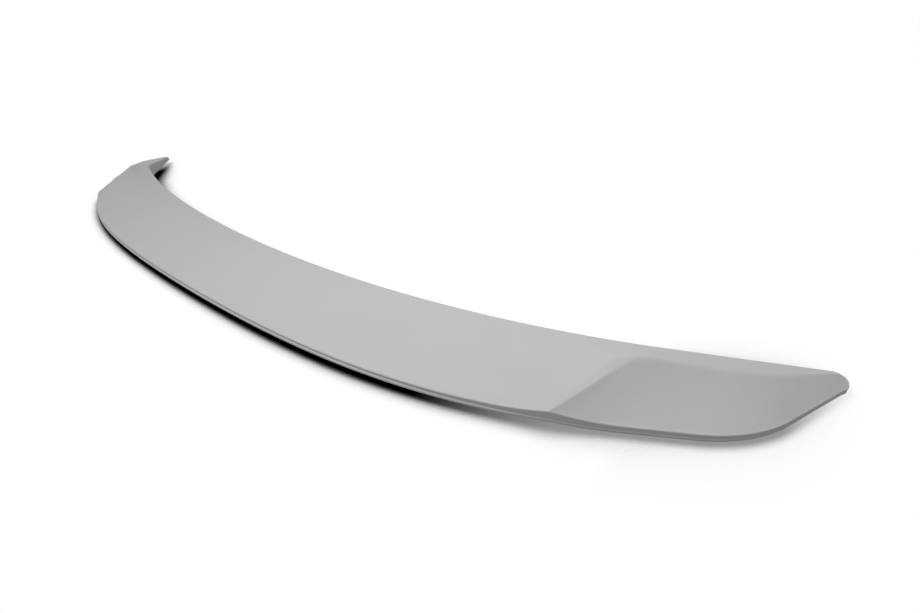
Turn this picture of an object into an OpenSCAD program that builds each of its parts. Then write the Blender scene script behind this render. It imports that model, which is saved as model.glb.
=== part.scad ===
// Trunk spoiler, one closed moulding in unpainted grey primer.
// The rear edge faces -Y, the floor is Z = 0, and the part is the same on both sides of X = 0.

/* [Blade] */
// Distance between the two crests, where the creases leave the rear edge
crest_span = 860; // [780:5:940]
// How far the rear edge at a crest lies forward of its middle
rear_bow = 65; // [30:1:90]
// Share of the rear bow that is a plain parabola, the rest bends near the crests
rear_round = 0.46; // [0.2:0.02:0.8]
// Depth of the blade from rear edge to leading edge, in the middle
blade_depth = 111; // [90:1:140]
// Distance between the two inner corners of the leading edge
lead_span = 932; // [880:2:980]
// How far the leading edge at a corner lies forward of its middle
lead_bow = 57; // [30:1:80]
// Height of the leading edge in the middle
lead_mid_h = 18; // [14:0.5:30]
// Height of the leading edge at its inner corners
lead_corner_h = 32; // [24:0.5:50]
// Thickness of the blade at the leading edge
lead_thick = 5; // [3.5:0.1:8]
// Depth of the shallow trough that makes the rear edge flick up
flick = 1.6; // [0:0.1:3]

/* [Rear face] */
// Height of the rear face in the middle
face_h = 8.5; // [6:0.1:14]
// Height that the crest adds to the rear face
crest_rise = 2.4; // [0:0.1:4]
// Length of the crest's flank towards the middle
crest_run = 36; // [20:1:60]
// Length of the crest's flank along the wing
crest_fall = 58; // [30:1:80]
// Gap under the rear face in the middle, when the part lies on a floor
mid_gap = 3.6; // [1:0.1:8]
// The same gap at the crests
crest_gap = 4.6; // [2:0.1:8]
// Height of the lip along the foot of the rear face
lip_h = 2.2; // [1:0.1:3.5]
// How far the lip stands out
lip_out = 1.5; // [0.2:0.1:2]
// Rounding of the rear face's top edge
edge_r = 1.2; // [0.5:0.1:2]

/* [Wings] */
// Width over the shoulders, where the two straights of the outer edge would meet
shoulder_span = 1122; // [1060:2:1180]
// How far the shoulders lie forward of the rear edge's middle
shoulder_y = 138; // [110:1:150]
// Width over the outer ends of the outer edge, where the tips start
tip_span = 1222; // [1190:2:1260]
// How far the outer ends lie forward of the rear edge's middle
tip_y = 243; // [220:1:270]
// Diameter of the round tip
tip_d = 18; // [14:1:30]
// Height of the rear face past the crest
wing_face_h = 7.5; // [5:0.1:12]
// Height of the rear face at the tip
tip_face_h = 5.5; // [4:0.1:10]
// Height of the tip
tip_h = 12; // [7:0.1:16]
// Height of the ridge at its rounded corner
ridge_h = 40.5; // [34:0.5:48]
// Gap under the foot of the wing's inner wall, next to the blade
inner_gap = 11; // [0:0.5:16]
// Rise of the blade towards the ridge, at the crest
swell = 11.7; // [4:0.1:14]
// Length of blade over which it swells up towards the crest
swell_run = 150; // [80:5:220]

/* [Hidden] */
primer = [0.70, 0.71, 0.72];

// Shares of the wing's length and of the section's depth at which the crease turns into the ridge
turn_w = 0.068;
ridge_t = 0.66;
crease_soft = 0.05;
ridge_soft = 0.06;
turn_soft = 0.35;
// Share of the leading bow, and of its rise, that is a plain parabola
lead_round = 0.59;
lead_curl = 1.7;
// Share of the wing over half of which the leading edge's corner is rounded
corner_w = 0.05;
// Share of the wing's underside that is a flat seat, along the outer edge
seat_t = 1 / 3;
// The underside starts to drop into the wing at this share of the way to the crest
box_u = 0.965;
// Direction across the tip, in degrees from +X
tip_across = 134;
// The trough behind the rear edge ends at this share of the depth
flick_end = 0.46;

// Counts of stations and of points round a section
blade_steps = 30;
wing_steps = 26;
cap_steps = 4;
top_steps = 22;
under_steps = 6;

crest_x = crest_span / 2;
lead_x = lead_span / 2;
shoulder = [shoulder_span / 2, shoulder_y];
rear_end = [tip_span / 2, tip_y];
under_r = 0.8;

function lerp(a, b, t) = a + (b - a) * t;
function clamp01(t) = max(0, min(1, t));
function ease(t) = let(k = clamp01(t)) k * k * (3 - 2 * k);
function unit(v) = v / norm(v);
function xy(p) = [p.x, p.y];
// A ramp that starts at 0 and is rounded over h on both sides of its foot
function ramp(x, h) = x <= -h ? 0 : x >= h ? x : pow(x + h, 2) / (4 * h);
// The smaller of a and 1, with the change from one to the other rounded
function soft_top(a) = max(0, (a + 1 - sqrt(pow(a - 1, 2) + pow(turn_soft, 2))) / 2);

// Rear edge between the crests, u = 0 in the middle and 1 at the crest
function blade_face(u) = face_h + crest_rise * pow(clamp01(1 - crest_x * (1 - u) / crest_run), 2);
function blade_gap(u) = lerp(mid_gap, crest_gap, pow(u, 4));
function blade_rear(u) = [
    crest_x * u,
    rear_bow * (rear_round * u * u + (1 - rear_round) * pow(u, 4)),
    blade_gap(u) + blade_face(u)
];
function blade_lead(u) = [
    lead_x * u,
    blade_depth + lead_bow * (lead_round * u * u + (1 - lead_round) * pow(u, 4)),
    lerp(lead_mid_h, lead_corner_h, lead_curl * u * u + (1 - lead_curl) * pow(u, 4))
];
// How much the blade stands above its chord on the line of the ridge
function blade_swell(u) = swell * pow(clamp01(1 - crest_x * (1 - u) / swell_run), 2);

// Outer edge of the wing, w = 0 at the crest and 1 at the tip
crest_pt = blade_rear(1);
shoulder_w = norm(shoulder - xy(crest_pt))
    / (norm(shoulder - xy(crest_pt)) + norm(rear_end - shoulder));
shoulder_soft = 0.16;
wing_in = (shoulder - xy(crest_pt)) / shoulder_w;
wing_out = (rear_end - shoulder) / (1 - shoulder_w);
function flank(w) = pow(clamp01(1 - norm(wing_in) * w / crest_fall), 2);
function wing_face(w) = lerp(lerp(wing_face_h, tip_face_h, w), face_h + crest_rise, flank(w));
function wing_gap(w) = crest_gap * flank(w);
function wing_rear(w) = let(
    p = xy(crest_pt) + wing_in * w + (wing_out - wing_in) * ramp(w - shoulder_w, shoulder_soft)
) [p.x, p.y, wing_gap(w) + wing_face(w)];

// Inner edge of the wing, from the leading edge's corner to the tip
lead_corner = blade_lead(1);
lead_end = [each rear_end + tip_d * [cos(tip_across), sin(tip_across)], tip_h];
lead_run = lead_end - lead_corner;
// The wing's inner edge sets off in line with the blade's leading edge, then bends to the tip
lead_start = norm(lead_run) * unit([
    lead_x,
    lead_bow * (4 - 2 * lead_round),
    (lead_corner_h - lead_mid_h) * (4 - 2 * lead_curl)
]);
function wing_lead(w) = lead_corner + lead_start * w
    + (lead_run - lead_start) * ramp(w - corner_w, corner_w) / (1 - corner_w);

// Ridge height at a station of the wing
crest_ridge_h = lerp(crest_pt.z, lead_corner_h, ridge_t) + swell;
ridge_up = (ridge_h - crest_ridge_h) / turn_w;
ridge_down = (ridge_h - tip_h - 1) / (1 - turn_w);
function wing_ridge(w) = crest_ridge_h + ridge_up * w
    - (ridge_up + ridge_down) * ramp(w - turn_w, turn_w);
plate_slope = (crest_ridge_h - crest_pt.z) / ridge_t;

// A station holds: rear top corner, leading edge, share at which the crease runs,
// ridge height, slope of the plate, height of the rear face, share of the wing's box,
// share of the trough and lip, height of the inner wall's foot
function blade_station(u) = let(
    r = blade_rear(u),
    l = blade_lead(u),
    q = lerp(r.z, l.z, ridge_t) + blade_swell(u)
) [r, l, 0, q, (q - r.z) / ridge_t, blade_face(u), ease((u - box_u) / (1 - box_u)), 1 - pow(u, 6), inner_gap];
function wing_station(w) = [
    wing_rear(w), wing_lead(w), ridge_t * soft_top(w / turn_w),
    wing_ridge(w), plate_slope, wing_face(w), 1, 0, inner_gap * (1 - w / 2)
];
// The tip closes round a half circle, a in degrees
function cap_station(a) = let(
    s = wing_station(1),
    mid = (s[0] + s[1]) / 2,
    half = (s[1] - s[0]) / 2,
    ahead = unit([half.y, -half.x]) * norm(xy(half)) * sin(a),
    r = mid - half * cos(a) + [ahead.x, ahead.y, 0],
    l = mid + half * cos(a) + [ahead.x, ahead.y, 0]
) [r, l, s[2], lerp(s[3], mid.z, sin(a)), s[4], r.z, 1, 0, s[8] * cos(a)];

// Height of the top surface at share t of the depth
function top_z(s, t) = let(
    rz = s[0].z,
    k = s[2],
    kz = s[3] - s[4] * (ridge_t - k),
    facet = k > 0.01 ? (kz - rz) / k : s[4],
    strip = (s[1].z - s[3]) / (1 - ridge_t),
    dip = t < flick_end ? flick * s[7] * pow(sin(180 * t / flick_end), 2) : 0
) rz + facet * t
    + (s[4] - facet) * ramp(t - k, max(0.001, min(crease_soft, k)))
    + (strip - s[4]) * ramp(t - ridge_t, ridge_soft)
    - dip;

// Closed section at a station: rear edge, top, leading rim, underside and rear face
function section(s) = let(
    r = s[0],
    l = s[1],
    box = s[6],
    back = unit(xy(r - l)),
    depth = norm(xy(r - l)),
    rim = min(lead_thick / 2, depth / 5, l.z / 3),
    er = min(edge_r, depth / 6),
    low_r = r.z - s[5],
    low_l = lerp(l.z - lead_thick, s[8], box),
    fr = lerp(rim, under_r, box),
    lo = lip_out * s[7]
) concat(
    [for (a = [0, 45, 90]) let(o = xy(r) - back * er * (1 - cos(a)))
        [o.x, o.y, r.z - er * (1 - sin(a))]],
    [for (i = [1:top_steps - 1])
        let(t = i / top_steps, d = lerp(er, depth - rim, t), o = xy(r) - back * d)
        [o.x, o.y, top_z(s, d / depth)]],
    [for (a = [90:-30:0]) let(o = xy(l) + back * rim * (1 - cos(a)))
        [o.x, o.y, l.z - rim * (1 - sin(a))]],
    [for (a = [0, 45, 90]) let(o = xy(l) + back * fr * (1 - cos(a)))
        [o.x, o.y, low_l + fr * (1 - sin(a))]],
    [for (i = [1:under_steps - 1])
        let(t = i / under_steps, d = lerp(fr, depth - under_r, t), o = xy(l) + back * d)
        [o.x, o.y, lerp(low_l, low_r, lerp(t, min(1, t / (1 - seat_t)), box))]],
    [for (a = [90, 45, 0]) let(o = xy(r) + back * (lo - under_r * (1 - cos(a))))
        [o.x, o.y, low_r + under_r * (1 - sin(a))]],
    [let(o = xy(r) + back * lo) [o.x, o.y, low_r + lip_h]],
    [let(o = xy(r) - back * 0.3) [o.x, o.y, low_r + lip_h + 1]]
);

half_stations = concat(
    [for (i = [1:blade_steps]) blade_station(i / blade_steps)],
    [for (i = [1:wing_steps]) wing_station(pow(i / wing_steps, 1.7))],
    [for (i = [1:cap_steps]) cap_station(i * 84 / cap_steps)]
);
right_rings = [for (s = half_stations) section(s)];
function flip(ring) = [for (p = ring) [-p.x, p.y, p.z]];
count = len(right_rings);
rings = concat(
    [for (i = [count - 1:-1:0]) flip(right_rings[i])],
    [section(blade_station(0))],
    right_rings
);

// Joins closed rings into one solid, with a fan at each end
module loft(rings) {
    n = len(rings[0]);
    m = len(rings);
    function middle(ring) = [for (p = ring) 1] * ring / n;
    points = concat([for (ring = rings) each ring], [middle(rings[0]), middle(rings[m - 1])]);
    sides = [for (j = [0:m - 2], i = [0:n - 1])
        let(a = j * n + i, b = j * n + (i + 1) % n)
        each [[a, b + n, a + n], [a, b, b + n]]];
    first = [for (i = [0:n - 1]) [(i + 1) % n, i, m * n]];
    last = [for (i = [0:n - 1]) [(m - 1) * n + i, (m - 1) * n + (i + 1) % n, m * n + 1]];
    polyhedron(points, concat(sides, first, last), 10);
}

// The origin is under the middle of the part's box
all_y = [for (ring = rings, p = ring) p.y];
mid_y = (max(all_y) + min(all_y)) / 2;

module spoiler() {
    color(primer) translate([0, -mid_y, 0]) loft(rings);
}

spoiler();
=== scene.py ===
"""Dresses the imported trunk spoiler: one primed moulding, lofted smooth, on a pale studio floor."""

import math

import bpy
from bpy.props import FloatProperty, FloatVectorProperty, IntProperty, PointerProperty
from mathutils import Matrix, Vector


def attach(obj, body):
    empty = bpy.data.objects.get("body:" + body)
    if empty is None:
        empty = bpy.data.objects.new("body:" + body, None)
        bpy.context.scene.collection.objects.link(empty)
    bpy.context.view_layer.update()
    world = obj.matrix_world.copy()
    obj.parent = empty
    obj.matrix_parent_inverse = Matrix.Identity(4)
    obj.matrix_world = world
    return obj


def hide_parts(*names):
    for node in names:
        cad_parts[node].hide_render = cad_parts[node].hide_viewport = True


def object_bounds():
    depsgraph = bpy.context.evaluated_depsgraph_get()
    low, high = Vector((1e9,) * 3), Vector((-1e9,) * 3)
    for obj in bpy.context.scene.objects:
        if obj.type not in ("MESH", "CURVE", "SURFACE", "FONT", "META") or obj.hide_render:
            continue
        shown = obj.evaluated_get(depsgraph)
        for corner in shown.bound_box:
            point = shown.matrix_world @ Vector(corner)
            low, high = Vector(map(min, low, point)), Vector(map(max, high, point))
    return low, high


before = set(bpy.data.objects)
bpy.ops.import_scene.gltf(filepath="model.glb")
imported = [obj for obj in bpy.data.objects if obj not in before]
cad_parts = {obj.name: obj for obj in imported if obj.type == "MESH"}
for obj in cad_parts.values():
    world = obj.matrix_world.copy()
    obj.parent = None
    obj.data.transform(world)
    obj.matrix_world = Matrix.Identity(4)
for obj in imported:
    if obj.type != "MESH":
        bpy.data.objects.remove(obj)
CAD_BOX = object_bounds()

bl_info = {
    "name": "Primed trunk spoiler",
    "version": (1, 0, 0),
    "blender": (4, 5, 0),
    "location": "3D View > Sidebar > Spoiler",
    "description": "Builds a primed trunk spoiler and its studio around a packed CAD part",
    "category": "Object",
}

MM = 0.001
PICTURE_W = 920
SENSOR_W = 36.0
CLIP_START = 0.01
WHITE = (1.0, 1.0, 1.0, 1.0)
QUARTER_TURN = math.pi / 2

# Shares of the half length where the blade and the wing end, the rest is the round tip
BLADE_SHARE = 0.56
WING_SHARE = 0.96
# Power by which the sections gather at the wing's root
WING_GATHER = 1.5
# Past this share of the half length, all points lie in the one that closes the tip
CLOSED_FROM = 0.9999
# Points closer than this become one
WELD = 0.002 * MM
LEAST_DEPTH = 0.01 * MM
# Power of the curve by which the lip, the trough and the lift fade out towards the crest
MIDDLE_POWER = 6.0
# Most that a rounding takes of the section's depth, and the leading rim of its height
ROUND_SHARE = 1 / 6
RIM_SHARE = 1 / 5
RIM_H_SHARE = 1 / 3
# Share of the inner wall's gap that is gone at the tip
INNER_GAP_LOSS = 0.5
# Share of the depth that the facet takes where the wing begins
CREASE_START = 0.01
# What keeps the smooth moulding inside the flat-faced one's box
HAIR = 0.01 * MM
# The ridge is sharper than the flat-faced one, so its corner starts this much lower
RIDGE_DROP = 0.46 * MM
# How fast the leading edge rises at first, and how much of that it loses towards its corner
LEAD_CURL = 1.7
# Depth and height of the ledge over the lip
LEDGE_IN = 0.3 * MM
LEDGE_H = 0.5 * MM
# How much higher the lower rear edge lies in the middle than on the flat-faced moulding
REAR_LIFT = 3.2 * MM
# What is left of the ridge where it reaches the tip
TIP_RISE = 1.0 * MM
# Points that each strip round the section adds
STRIPS = {
    "rear_top": 6,
    "top": 64,
    "lead_top": 6,
    "lead_face": 10,
    "lead_foot": 5,
    "under": 12,
    "rear_foot": 5,
    "lip": 3,
    "lip_in": 2,
    "rear_face": 6,
}

SPECULAR = 0.2
CLOUD_SCALE = 14.0
# Stretched along the moulding, as it was rubbed down that way
SANDING_SCALE = (18.0, 420.0, 420.0)
# How far the noises move the tone, the roughness and the bump
CLOUD_TONE = 0.07
GRAIN_TONE = 0.05
SANDING_TONE = 0.03
CLOUD_ROUGH = 0.12
GRAIN_ROUGH = 0.10
GRAIN_BUMP = 0.6
SANDING_BUMP = 0.4
BUMP_STRENGTH = 0.12
BUMP_H = 0.05 * MM

FLOOR_REACH = 30.0
SHADE_SAMPLES = 16
# Shares of open sky over the floor at which its painted shadow is black and white, left and right of
# the turn
SHADE_LEFT = (0.48, 0.85)
SHADE_RIGHT = (0.70, 0.95)
# Stretches of x, in metres, where left turns into right and where the painted fill light sets in
SHADE_TURN = (0.38, 0.50)
SHADE_FILL = (0.32, 0.46)
# Distances from the middle, in metres, between which the painted shadow fades out at both ends
SHADE_ENDS = (0.54, 0.64)

LEFT_ANGLE = math.radians(40)
LEFT_PLACE = (-2.31, -0.84, 1.72)
SOFTBOX = 0.6
OVER_PLACE = (0.4, -0.4, 0.8)
OVER_TARGET = (0.3, 0.0, 0.0)
ABOVE_PLACE = (0.2, 0.1, 0.7)
ABOVE_TARGET = (0.2, 0.0, 0.0)


def length(name, text, millimetres):
    """A size in metres, given in millimetres."""
    return FloatProperty(name=name, description=text, default=millimetres * MM,
                         min=0.0, unit="LENGTH", subtype="DISTANCE", precision=4)


def share(name, text, default):
    """A plain number from 0 to 1."""
    return FloatProperty(name=name, description=text, default=default,
                         min=0.0, max=1.0, subtype="FACTOR", precision=3)


class SpoilerShape(bpy.types.PropertyGroup):
    """Sizes that rule the moulding's shape."""

    crest_span: length("Crest span", "Distance between the two crests of the rear edge", 860)
    rear_bow: length("Rear bow", "How far a crest lies forward of the rear edge's middle", 65)
    rear_round: share("Rear roundness", "Share of the rear bow that is a parabola", 0.46)
    blade_depth: length("Blade depth", "Rear edge to leading edge in the middle", 111)
    lead_span: length("Leading span", "Distance between the leading edge's corners", 932)
    lead_bow: length("Leading bow", "How far a leading corner lies forward of the middle", 57)
    lead_round: share("Leading roundness", "Share of the leading bow that is a parabola", 0.59)
    lead_mid_h: length("Leading height", "Height of the leading edge in the middle", 18)
    lead_corner_h: length("Leading corner height", "Height of the leading edge's corner", 32)
    lead_thick: length("Blade thickness", "Thickness at the leading edge", 5)
    corner_w: share("Corner rounding", "Share of the wing that rounds the leading corner", 0.05)
    inner_gap: length("Inner gap", "Gap under the wing's inner wall, next to the blade", 11)
    seat_t: share("Seat", "Share of the wing's underside that is a flat seat", 1 / 3)
    box_u: share("Box start", "Share of the way to the crest where the wing's box starts", 0.965)
    flick: length("Flick", "Depth of the trough ahead of the rear edge", 1.6)
    flick_end: share("Flick end", "Share of the depth at which the trough ends", 0.46)
    face_h: length("Rear face", "Height of the rear face in the middle", 8.5)
    crest_rise: length("Crest rise", "What the crest adds to the rear face", 2.4)
    crest_run: length("Crest run", "Length of the crest's flank towards the middle", 36)
    crest_fall: length("Crest fall", "Length of the crest's flank along the wing", 58)
    mid_gap: length("Rear gap", "Gap under the rear face in the middle", 3.6)
    crest_gap: length("Crest gap", "Gap under the rear face at the crest", 4.6)
    lip_h: length("Lip height", "Height of the lip at the rear face's foot", 2.2)
    lip_out: length("Lip reach", "How far the lip stands out", 1.5)
    edge_r: length("Edge radius", "Rounding of the rear face's top edge", 1.2)
    under_r: length("Foot radius", "Rounding of the lower edges", 0.8)
    shoulder_span: length("Shoulder span", "Width over the shoulders", 1122)
    shoulder_y: length("Shoulder reach", "How far the shoulders lie forward", 138)
    shoulder_soft: share("Shoulder rounding", "Share of the wing that bends", 0.16)
    tip_span: length("Tip span", "Width over the ends of the outer edge", 1222)
    tip_y: length("Tip reach", "How far those ends lie forward", 243)
    tip_d: length("Tip diameter", "Diameter of the round tip", 18)
    tip_across: FloatProperty(name="Tip direction", description="Direction across the tip",
                              default=math.radians(134), subtype="ANGLE", unit="ROTATION")
    wing_face_h: length("Wing face", "Height of the rear face past the crest", 7.5)
    tip_face_h: length("Tip face", "Height of the rear face at the tip", 5.5)
    tip_h: length("Tip height", "Height of the tip", 12)
    ridge_h: length("Ridge height", "Height of the ridge at its corner", 40.5)
    ridge_t: share("Ridge place", "Share of the depth at which the ridge runs", 0.66)
    ridge_soft: share("Ridge rounding", "Share of the depth over which the ridge bends", 0.04)
    turn_w: share("Crease turn", "Share of the wing at which the crease becomes the ridge", 0.068)
    turn_soft: share("Turn rounding", "How softly the crease turns into the ridge", 0.35)
    crease_soft: share("Crease rounding", "Share of the depth over which the crease bends", 0.035)
    swell: length("Swell", "Rise of the blade towards the ridge at the crest", 11.7)
    swell_run: length("Swell run", "Length of blade over which it swells", 150)
    stations: IntProperty(name="Stations", description="Sections along the whole length",
                          default=381, min=61, max=601)


class PrimerLook(bpy.types.PropertyGroup):
    """Finish of the primed plastic."""

    grey: FloatVectorProperty(name="Primer", description="Colour of the primer",
                              default=(0.473, 0.473, 0.472), size=3, subtype="COLOR",
                              min=0.0, max=1.0)
    roughness: FloatProperty(name="Roughness", description="How matt the primer is",
                             default=0.6, min=0.0, max=1.0, subtype="FACTOR")
    grain: length("Grain", "Size of the primer's fine grain", 0.9)


class StudioLook(bpy.types.PropertyGroup):
    """Floor, lamps and camera."""

    sky: FloatProperty(name="Sky", description="Strength of the even light", default=0.4,
                       min=0.0)
    left: FloatProperty(name="Left", description="Strength of the wide light from the left",
                        default=0.62, min=0.0)
    over: FloatProperty(name="Over",
                        description="Power of the softbox over the rear edge, in watts",
                        default=2.0, min=0.0)
    above: FloatProperty(name="Above", description="Power of the softbox over the blade, in watts",
                         default=2.2, min=0.0)
    # Shade and fill on the floor are painted into its emission; the lamps don't light the floor that
    # the camera sees
    shade_reach: length("Shade reach", "How far the object's shade spreads over the floor", 60)
    shade_power: FloatProperty(name="Shade power", description="How fast the shade deepens",
                               default=2.2, min=0.1)
    shade_fill: share("Shade fill", "Light in the shade on the right, under the softbox", 0.3)
    floor: FloatVectorProperty(name="Floor", description="Colour of the floor",
                               default=(0.25, 0.25, 0.25), size=3, subtype="COLOR",
                               min=0.0, max=1.0)
    camera_place: FloatVectorProperty(name="Camera", description="Where the camera stands",
                                      default=(0.5235, -0.29748, 0.2616), size=3,
                                      subtype="TRANSLATION", unit="LENGTH", precision=4)
    camera_turn: FloatProperty(name="Azimuth", description="Angle round the object",
                               default=math.radians(36.88), subtype="ANGLE", unit="ROTATION")
    camera_tilt: FloatProperty(name="Elevation", description="Angle above the floor",
                               default=math.radians(32.20), subtype="ANGLE", unit="ROTATION")
    camera_reach: FloatProperty(name="Focal length", description="In pixels of the picture",
                                default=450.0, min=100.0)


class Wire:
    """A socket of a node tree, so that maths on it is written as an expression."""

    def __init__(self, graph, socket):
        self.graph = graph
        self.socket = socket

    def __add__(self, other):
        return self.graph.math("ADD", self, other)

    def __radd__(self, other):
        return self.graph.math("ADD", other, self)

    def __sub__(self, other):
        return self.graph.math("SUBTRACT", self, other)

    def __rsub__(self, other):
        return self.graph.math("SUBTRACT", other, self)

    def __mul__(self, other):
        return self.graph.math("MULTIPLY", self, other)

    def __rmul__(self, other):
        return self.graph.math("MULTIPLY", other, self)

    def __truediv__(self, other):
        return self.graph.math("DIVIDE", self, other)

    def __rtruediv__(self, other):
        return self.graph.math("DIVIDE", other, self)

    def __pow__(self, other):
        return self.graph.math("POWER", self, other)

    def __neg__(self):
        return self.graph.math("MULTIPLY", self, -1.0)


class Graph:
    """A node tree that is built by expressions."""

    def __init__(self, tree):
        self.tree = tree

    def node(self, kind, settings=None, sockets=None):
        """Adds a node, sets its settings and then its sockets' values or links."""
        made = self.tree.nodes.new(kind)
        for name, value in (settings or {}).items():
            setattr(made, name, value)
        for name, value in (sockets or {}).items():
            if isinstance(value, Wire):
                self.tree.links.new(value.socket, made.inputs[name])
            else:
                made.inputs[name].default_value = value
        return made

    def wire(self, kind, settings=None, sockets=None, output=0):
        """Adds a node and returns one of its outputs."""
        return Wire(self, self.node(kind, settings, sockets).outputs[output])

    def math(self, operation, *values):
        return self.wire("ShaderNodeMath", {"operation": operation}, dict(enumerate(values)))

    def least(self, a, b):
        return self.math("MINIMUM", a, b)

    def most(self, a, b):
        return self.math("MAXIMUM", a, b)

    def clamp01(self, a):
        return self.least(self.most(a, 0.0), 1.0)

    def root(self, a):
        return self.math("SQRT", a)

    def sine(self, a):
        return self.math("SINE", a)

    def cosine(self, a):
        return self.math("COSINE", a)

    def ease(self, a):
        """0 up to 0, 1 from 1 on, and level at both."""
        k = self.clamp01(a)
        return k * k * (3.0 - 2.0 * k)

    def ramp(self, x, h):
        """0 at first, then rises with x, rounded over h on both sides of 0."""
        middle = self.least(self.most(x + h, 0.0), 2.0 * h)
        return middle * middle / (4.0 * h) + self.most(x - h, 0.0)


def lerp(a, b, t):
    return a + (b - a) * t


def end_slope(roundness):
    """Slope at u = 1 of an edge that runs as lerp(u ** 4, u ** 2, roundness)."""
    return 4.0 - 2.0 * roundness


class Pair:
    """Two wires, a place or direction seen from above."""

    def __init__(self, x, y):
        self.x = x
        self.y = y

    def __add__(self, other):
        return Pair(self.x + other.x, self.y + other.y)

    def __sub__(self, other):
        return Pair(self.x - other.x, self.y - other.y)

    def __mul__(self, factor):
        return Pair(self.x * factor, self.y * factor)

    def size(self, graph):
        return graph.root(self.x * self.x + self.y * self.y)


def moulding_rule(g, size, along, round_):
    """Place of a point of the moulding.

    along runs from -1 at the left tip to 1 at the right one, and round_ counts the points
    round the section.
    Each stretch adds what it travels, so no stretch has to ask where it begins."""
    half = g.math("ABSOLUTE", along)
    side = g.math("SIGN", along)
    u = g.clamp01(half / BLADE_SHARE)
    w = g.clamp01((half - BLADE_SHARE) / (WING_SHARE - BLADE_SHARE)) ** WING_GATHER
    turn = g.clamp01((half - WING_SHARE) / (1.0 - WING_SHARE)) * QUARTER_TURN
    u2 = u * u
    u4 = u2 * u2

    crest_x = size["crest_span"] / 2.0
    lead_x = size["lead_span"] / 2.0
    crest = Pair(crest_x, size["rear_bow"])
    shoulder = Pair(size["shoulder_span"] / 2.0, size["shoulder_y"])
    rear_end = Pair(size["tip_span"] / 2.0 - HAIR, size["tip_y"] - HAIR)
    across = Pair(g.cosine(size["tip_across"]), g.sine(size["tip_across"]))
    lead_corner = Pair(lead_x, size["blade_depth"] + size["lead_bow"])
    lead_end = rear_end + across * size["tip_d"]
    crest_top = size["crest_gap"] + size["face_h"] + size["crest_rise"]

    # Rear edge
    to_shoulder = (shoulder - crest).size(g)
    shoulder_w = to_shoulder / (to_shoulder + (rear_end - shoulder).size(g))
    wing_in = (shoulder - crest) * (1.0 / shoulder_w)
    wing_out = (rear_end - shoulder) * (1.0 / (1.0 - shoulder_w))
    bend = g.ramp(w - shoulder_w, size["shoulder_soft"])
    rear = Pair(
        crest_x * u,
        size["rear_bow"] * lerp(u4, u2, size["rear_round"]),
    ) + wing_in * w + (wing_out - wing_in) * bend
    flank = g.clamp01(1.0 - wing_in.size(g) * w / size["crest_fall"]) ** 2.0
    to_crest = g.clamp01(1.0 - crest_x * (1.0 - u) / size["crest_run"])
    blade_gap = lerp(size["mid_gap"], size["crest_gap"], u4)
    blade_top = blade_gap + size["face_h"] + size["crest_rise"] * to_crest * to_crest
    middle_part = 1.0 - u ** MIDDLE_POWER
    low_rear = blade_gap + REAR_LIFT * middle_part - size["crest_gap"] * (1.0 - flank)
    wing_face = lerp(
        lerp(size["wing_face_h"], size["tip_face_h"], w),
        size["face_h"] + size["crest_rise"],
        flank,
    )
    rear_z = blade_top + size["crest_gap"] * flank + wing_face - crest_top

    # Leading edge, which sets off along the wing in line with the blade and then bends to the tip
    lead_rise = size["lead_corner_h"] - size["lead_mid_h"]
    run = lead_end - lead_corner
    run_z = size["tip_h"] - size["lead_corner_h"]
    start = Pair(lead_x, size["lead_bow"] * end_slope(size["lead_round"]))
    start_z = end_slope(LEAD_CURL) * lead_rise
    stretch = g.root(run.x ** 2.0 + run.y ** 2.0 + run_z ** 2.0) / g.root(
        start.x ** 2.0 + start.y ** 2.0 + start_z ** 2.0
    )
    start = start * stretch
    start_z = start_z * stretch
    turned_off = g.ramp(w - size["corner_w"], size["corner_w"]) / (1.0 - size["corner_w"])
    lead = Pair(
        lead_x * u,
        size["blade_depth"] + size["lead_bow"] * lerp(u4, u2, size["lead_round"]),
    ) + start * w + (run - start) * turned_off
    blade_lead_z = size["lead_mid_h"] + lead_rise * lerp(u4, u2, LEAD_CURL)
    lead_z = blade_lead_z + start_z * w + (run_z - start_z) * turned_off

    # Crease and ridge
    swelling = g.clamp01(1.0 - crest_x * (1.0 - u) / size["swell_run"]) ** 2.0
    blade_ridge = lerp(blade_top, blade_lead_z, size["ridge_t"]) + size["swell"] * swelling
    slope = (blade_ridge - blade_top) / size["ridge_t"]
    crest_ridge = lerp(crest_top, size["lead_corner_h"], size["ridge_t"]) + size["swell"]
    top = size["ridge_h"] - RIDGE_DROP
    ridge_up = (top - crest_ridge) / size["turn_w"]
    ridge_down = (top - size["tip_h"] - TIP_RISE) / (1.0 - size["turn_w"])
    ridge = blade_ridge + ridge_up * w
    ridge = ridge - (ridge_up + ridge_down) * g.ramp(w - size["turn_w"], size["turn_w"])
    turned = w / size["turn_w"]
    soft = (turned + 1.0 - g.root((turned - 1.0) ** 2.0 + size["turn_soft"] ** 2.0)) / 2.0
    crease_t = g.most(size["ridge_t"] * soft, CREASE_START)

    # The tip turns the section round on itself
    middle = (rear + lead) * 0.5
    reach = (lead - rear) * 0.5
    swung = g.cosine(turn)
    ahead = g.sine(turn)
    rear = middle - reach * swung + Pair(reach.y, -reach.x) * ahead
    lead = middle + reach * swung + Pair(reach.y, -reach.x) * ahead
    middle_z = (rear_z + lead_z) / 2.0
    rear_z = lerp(middle_z, rear_z, swung)
    lead_z = lerp(middle_z, lead_z, swung)
    ridge = lerp(ridge, middle_z, ahead)

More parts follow.
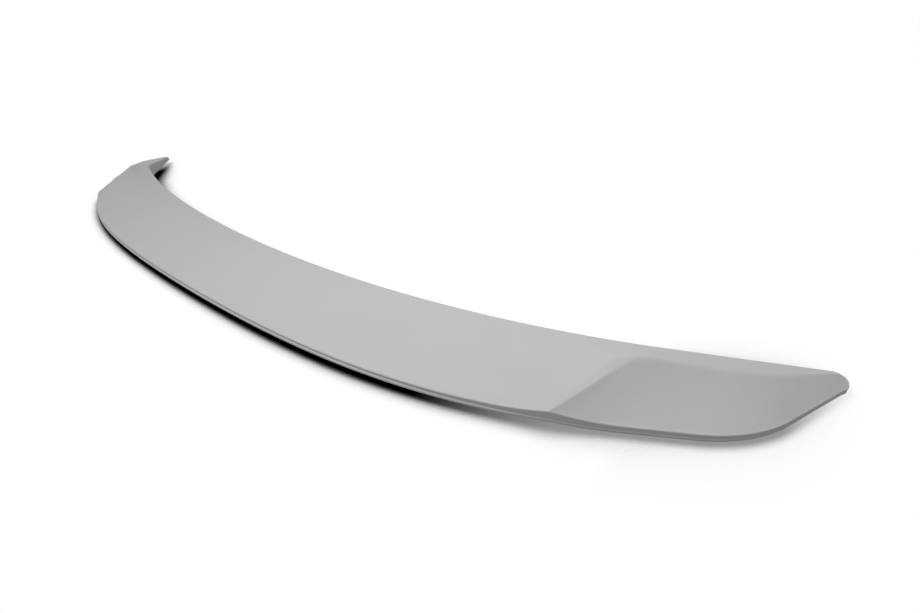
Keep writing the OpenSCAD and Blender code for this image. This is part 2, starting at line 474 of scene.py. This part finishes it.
    # Section
    depth = g.most((rear - lead).size(g), LEAST_DEPTH)
    back = (rear - lead) * (1.0 / depth)
    box = g.ease((u - size["box_u"]) / (1.0 - size["box_u"]))
    most_round = depth * ROUND_SHARE
    rim = g.least(g.least(size["lead_thick"] / 2.0, depth * RIM_SHARE), lead_z * RIM_H_SHARE)
    edge = g.least(size["edge_r"], most_round)
    wall_foot = size["inner_gap"] * (1.0 - w * INNER_GAP_LOSS) * swung
    low_lead = lerp(lead_z - size["lead_thick"], wall_foot, box)
    foot = g.least(lerp(rim, size["under_r"], box), most_round)
    under_r = g.least(size["under_r"], most_round)
    lip = size["lip_out"] * middle_part
    crease_z = ridge - slope * (size["ridge_t"] - crease_t)
    facet = (crease_z - rear_z) / crease_t
    strip = (lead_z - ridge) / (1.0 - size["ridge_t"])
    crease_h = g.least(size["crease_soft"], crease_t)

    def top_z(t):
        wave = g.sine(g.least(t / size["flick_end"], 1.0) * math.pi)
        return (
            rear_z + facet * t
            + (slope - facet) * g.ramp(t - crease_t, crease_h)
            + (strip - slope) * g.ramp(t - size["ridge_t"], size["ridge_soft"])
            - size["flick"] * middle_part * wave * wave
        )

    passed = 0
    part = {}
    for name, points in STRIPS.items():
        part[name] = g.clamp01((round_ - float(passed)) / float(points))
        passed += points
    to_seat = g.least(part["under"] / (1.0 - size["seat_t"]), 1.0)
    top_start = top_z(edge / depth)
    top_end = top_z((depth - rim) / depth)
    inward = (
        edge * (1.0 - g.cosine(part["rear_top"] * QUARTER_TURN))
        + (depth - rim - edge) * part["top"]
        + rim * g.sine(part["lead_top"] * QUARTER_TURN)
        - foot * (1.0 - g.cosine(part["lead_foot"] * QUARTER_TURN))
        - (depth - foot + lip - under_r) * part["under"]
        - under_r * g.sine(part["rear_foot"] * QUARTER_TURN)
        + (lip + LEDGE_IN) * part["lip_in"]
        - LEDGE_IN * part["rear_face"]
    )
    lip_top = low_rear + size["lip_h"]
    up = (
        top_start - edge
        + edge * g.sine(part["rear_top"] * QUARTER_TURN)
        + (top_z(lerp(edge, depth - rim, part["top"]) / depth) - top_start)
        - rim * (1.0 - g.cosine(part["lead_top"] * QUARTER_TURN))
        + (low_lead + foot - top_end + rim) * part["lead_face"]
        - foot * g.sine(part["lead_foot"] * QUARTER_TURN)
        + (low_rear - low_lead) * lerp(part["under"], to_seat, box)
        + under_r * (1.0 - g.cosine(part["rear_foot"] * QUARTER_TURN))
        + (lip_top - low_rear - under_r) * part["lip"]
        + LEDGE_H * part["lip_in"]
        + (top_start - edge - lip_top - LEDGE_H) * part["rear_face"]
    )
    place = rear - back * inward
    # The last ring closes on one point
    closed = g.math("GREATER_THAN", half, CLOSED_FROM)
    x = lerp(place.x, middle.x + reach.y, closed)
    y = lerp(place.y, middle.y - reach.x, closed)
    z = lerp(up, middle_z / 2.0, closed)
    return x * side, y, z


def moulding_tree(material):
    """A Geometry Nodes tree whose inputs are the moulding's sizes."""
    tree = bpy.data.node_groups.new("Spoiler loft", "GeometryNodeTree")
    tree.interface.new_socket("Geometry", in_out="INPUT", socket_type="NodeSocketGeometry")
    tree.interface.new_socket("Geometry", in_out="OUTPUT", socket_type="NodeSocketGeometry")
    names = list(SpoilerShape.__annotations__)
    for name in names:
        kind = "NodeSocketInt" if name == "stations" else "NodeSocketFloat"
        tree.interface.new_socket(name, in_out="INPUT", socket_type=kind)
    g = Graph(tree)
    inputs = g.node("NodeGroupInput")
    size = {name: Wire(g, inputs.outputs[name]) for name in names}
    points = sum(STRIPS.values()) + 1
    grid = g.wire("GeometryNodeMeshGrid", None, {
        "Size X": 2.0, "Size Y": float(points - 1),
        "Vertices X": size["stations"], "Vertices Y": points,
    }, "Mesh")
    where = g.node("ShaderNodeSeparateXYZ", None, {0: g.wire("GeometryNodeInputPosition")})
    along = Wire(g, where.outputs["X"])
    round_ = Wire(g, where.outputs["Y"]) + (points - 1) / 2
    x, y, z = moulding_rule(g, size, along, g.math("ROUND", round_))
    # The lip's middle is the CAD box's rearmost point
    y = y + size["lip_out"] + CAD_BOX[0][1]
    place = g.wire("ShaderNodeCombineXYZ", None, {"X": x, "Y": y, "Z": z})
    moved = g.wire("GeometryNodeSetPosition", None, {"Geometry": grid, "Position": place})
    joined = g.wire("GeometryNodeMergeByDistance", None,
                    {"Geometry": moved, "Distance": WELD})
    smooth = g.wire("GeometryNodeSetShadeSmooth", None, {"Geometry": joined})
    real = g.wire("GeometryNodeRealizeInstances", None, {"Geometry": smooth})
    done = g.wire("GeometryNodeSetMaterial", None, {"Geometry": real, "Material": material})
    g.node("NodeGroupOutput", None, {"Geometry": done})
    return tree


def primer_material(look):
    """Matt grey primer: fine grain, faint sanding marks and cloudy tone."""
    material = bpy.data.materials.new("primed_plastic")
    material.use_nodes = True
    g = Graph(material.node_tree)
    material.node_tree.nodes.clear()
    here = g.wire("ShaderNodeTexCoord", output="Object")
    cloud = g.wire("ShaderNodeTexNoise", None,
                   {"Vector": here, "Scale": CLOUD_SCALE, "Detail": 3.0, "Roughness": 0.55})
    grain = g.wire("ShaderNodeTexNoise", None,
                   {"Vector": here, "Scale": 1.0 / look.grain, "Detail": 2.0})
    stretched = g.wire("ShaderNodeMapping", {"vector_type": "POINT"},
                       {"Vector": here, "Scale": SANDING_SCALE})
    sanding = g.wire("ShaderNodeTexNoise", None,
                     {"Vector": stretched, "Scale": 1.0, "Detail": 3.0, "Roughness": 0.6})
    tone = (
        1.0 + (cloud - 0.5) * CLOUD_TONE
        + (grain - 0.5) * GRAIN_TONE
        + (sanding - 0.5) * SANDING_TONE
    )
    colour = g.wire("ShaderNodeVectorMath", {"operation": "SCALE"},
                    {0: tuple(look.grey), "Scale": tone})
    rough = look.roughness + (cloud - 0.5) * CLOUD_ROUGH + (grain - 0.5) * GRAIN_ROUGH
    height = grain * GRAIN_BUMP + sanding * SANDING_BUMP
    bump = g.wire("ShaderNodeBump", None,
                  {"Strength": BUMP_STRENGTH, "Distance": BUMP_H, "Height": height})
    shader = g.wire("ShaderNodeBsdfPrincipled", None, {
        "Base Color": colour, "Roughness": rough, "Normal": bump,
        "Specular IOR Level": SPECULAR,
    })
    g.node("ShaderNodeOutputMaterial", None, {"Surface": shader})
    return material


def floor_material(look):
    """White to the camera away from the object, and darkened near it by a painted shadow: its
    emission falls with ambient occlusion, and a painted fill light lifts it on the right and at both
    ends.
    """
    material = bpy.data.materials.new("studio_floor")
    material.use_nodes = True
    g = Graph(material.node_tree)
    material.node_tree.nodes.clear()
    path = g.node("ShaderNodeLightPath")
    seen = g.most(Wire(g, path.outputs["Is Camera Ray"]), Wire(g, path.outputs["Is Glossy Ray"]))
    plain = g.wire("ShaderNodeBsdfDiffuse", None, {"Color": (*look.floor, 1.0)})
    open_sky = g.wire("ShaderNodeAmbientOcclusion", {"samples": SHADE_SAMPLES},
                      {"Color": WHITE, "Distance": look.shade_reach}, "AO")
    where = g.node("ShaderNodeSeparateXYZ", None,
                   {0: g.wire("ShaderNodeTexCoord", output="Object")})
    x = Wire(g, where.outputs["X"])
    # Painted shadow and painted fill light: the emission's strength, not the lamps, darkens the
    # floor where the object hides the sky
    right = g.ease((x - SHADE_TURN[0]) / (SHADE_TURN[1] - SHADE_TURN[0]))
    black = lerp(SHADE_LEFT[0], SHADE_RIGHT[0], right)
    full = lerp(SHADE_LEFT[1], SHADE_RIGHT[1], right)
    fill = look.shade_fill * g.ease((x - SHADE_FILL[0]) / (SHADE_FILL[1] - SHADE_FILL[0]))
    far_out = g.math("ABSOLUTE", x) - SHADE_ENDS[0]
    fill = g.most(fill, g.ease(far_out / (SHADE_ENDS[1] - SHADE_ENDS[0])))
    clear = g.clamp01((open_sky - black) / (full - black)) ** look.shade_power
    shade = fill + (1.0 - fill) * clear
    white = g.wire("ShaderNodeEmission", None, {"Color": WHITE, "Strength": shade})
    shader = g.wire("ShaderNodeMixShader", None, {0: seen, 1: plain, 2: white})
    g.node("ShaderNodeOutputMaterial", None, {"Surface": shader})
    return material


def studio_world(strength):
    """Even light, seen as white by the camera."""
    world = bpy.data.worlds.new("studio")
    world.use_nodes = True
    world.node_tree.nodes.clear()
    g = Graph(world.node_tree)
    path = g.node("ShaderNodeLightPath")
    seen = g.most(Wire(g, path.outputs["Is Camera Ray"]), Wire(g, path.outputs["Is Glossy Ray"]))
    light = g.wire("ShaderNodeBackground", None, {"Color": WHITE, "Strength": strength})
    white = g.wire("ShaderNodeBackground", None, {"Color": WHITE, "Strength": 1.0})
    shader = g.wire("ShaderNodeMixShader", None, {0: seen, 1: light, 2: white})
    g.node("ShaderNodeOutputWorld", None, {"Surface": shader})
    bpy.context.scene.world = world


def add_lamp(name, kind, settings, place, target=(0.0, 0.0, 0.0)):
    """A soft lamp that looks at target."""
    data = bpy.data.lights.new(name, kind)
    for setting, value in settings.items():
        setattr(data, setting, value)
    lamp = bpy.data.objects.new(name, data)
    aim = Vector(target) - Vector(place)
    turn = aim.to_track_quat("-Z", "Y").to_matrix().to_4x4()
    lamp.matrix_world = Matrix.Translation(place) @ turn
    bpy.context.collection.objects.link(lamp)


def add_camera(look):
    """The photograph's camera."""
    turn, tilt = look.camera_turn, look.camera_tilt
    level = math.cos(tilt)
    back = Vector((math.sin(turn) * level, -math.cos(turn) * level, math.sin(tilt)))
    right = Vector((math.cos(turn), math.sin(turn), 0.0))
    up = back.cross(right)
    data = bpy.data.cameras.new("camera")
    data.sensor_width = SENSOR_W
    data.lens = look.camera_reach / PICTURE_W * SENSOR_W
    data.clip_start = CLIP_START
    camera = bpy.data.objects.new("camera", data)
    axes = Matrix((right, up, back)).transposed().to_4x4()
    camera.matrix_world = Matrix.Translation(look.camera_place) @ axes
    bpy.context.collection.objects.link(camera)
    bpy.context.scene.camera = camera


class SPOILER_OT_moulding(bpy.types.Operator):
    """Build the spoiler's smooth moulding in place of the CAD solid"""

    bl_idname = "spoiler.moulding"
    bl_label = "Moulding"
    bl_options = {"REGISTER", "UNDO"}

    def execute(self, context):
        shape = context.scene.spoiler_shape
        material = primer_material(context.scene.primer_look)
        tree = moulding_tree(material)
        source = bpy.data.objects.new("loft", bpy.data.meshes.new("loft"))
        context.collection.objects.link(source)
        modifier = source.modifiers.new("loft", "NODES")
        modifier.node_group = tree
        for item in tree.interface.items_tree:
            if item.in_out == "INPUT" and item.name in SpoilerShape.__annotations__:
                modifier[item.identifier] = getattr(shape, item.name)
        context.view_layer.update()
        ready = source.evaluated_get(context.evaluated_depsgraph_get())
        mesh = bpy.data.meshes.new_from_object(ready)
        if len(mesh.polygons) == 0:
            raise RuntimeError("the loft has no faces")
        source.modifiers.remove(modifier)
        bpy.data.objects.remove(source)
        mesh.name = "moulding"
        mesh.materials.clear()
        mesh.materials.append(material)
        moulding = bpy.data.objects.new("moulding", mesh)
        context.collection.objects.link(moulding)
        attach(moulding, "root")
        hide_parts("spoiler")
        return {"FINISHED"}


class SPOILER_OT_studio(bpy.types.Operator):
    """Set up the pale floor, the soft lamps and the camera"""

    bl_idname = "spoiler.studio"
    bl_label = "Studio"
    bl_options = {"REGISTER", "UNDO"}

    def execute(self, context):
        look = context.scene.studio_look
        mesh = bpy.data.meshes.new("floor")
        signs = [(-1, -1), (1, -1), (1, 1), (-1, 1)]
        corners = [(x * FLOOR_REACH, y * FLOOR_REACH, 0.0) for x, y in signs]
        mesh.from_pydata(corners, [], [(0, 1, 2, 3)])
        mesh.materials.append(floor_material(look))
        floor = bpy.data.objects.new("floor", mesh)
        context.collection.objects.link(floor)
        studio_world(look.sky)
        add_lamp("left", "SUN", {"energy": look.left, "angle": LEFT_ANGLE}, LEFT_PLACE)
        add_lamp("over", "AREA", {"energy": look.over, "size": SOFTBOX},
                 OVER_PLACE, OVER_TARGET)
        add_lamp("above", "AREA", {"energy": look.above, "size": SOFTBOX},
                 ABOVE_PLACE, ABOVE_TARGET)
        add_camera(look)
        context.scene.view_settings.view_transform = "Standard"
        return {"FINISHED"}


class SPOILER_PT_panel(bpy.types.Panel):
    """Builders and settings of the primed spoiler"""

    bl_idname = "SPOILER_PT_panel"
    bl_label = "Primed trunk spoiler"
    bl_space_type = "VIEW_3D"
    bl_region_type = "UI"
    bl_category = "Spoiler"

    def draw(self, context):
        layout = self.layout
        for operator in (SPOILER_OT_studio, SPOILER_OT_moulding):
            layout.operator(operator.bl_idname)
        scene = context.scene
        for group in (scene.spoiler_shape, scene.primer_look, scene.studio_look):
            column = layout.column(align=True)
            for name in type(group).__annotations__:
                column.prop(group, name)


CLASSES = (
    SpoilerShape, PrimerLook, StudioLook,
    SPOILER_OT_moulding, SPOILER_OT_studio, SPOILER_PT_panel,
)
GROUPS = {"spoiler_shape": SpoilerShape, "primer_look": PrimerLook, "studio_look": StudioLook}


def register():
    for item in CLASSES:
        bpy.utils.register_class(item)
    for name, group in GROUPS.items():
        setattr(bpy.types.Scene, name, PointerProperty(type=group))


def unregister():
    for name in GROUPS:
        delattr(bpy.types.Scene, name)
    for item in reversed(CLASSES):
        bpy.utils.unregister_class(item)


def main():
    register()
    bpy.ops.spoiler.studio()
    bpy.ops.spoiler.moulding()


if __name__ == "__main__":
    main()
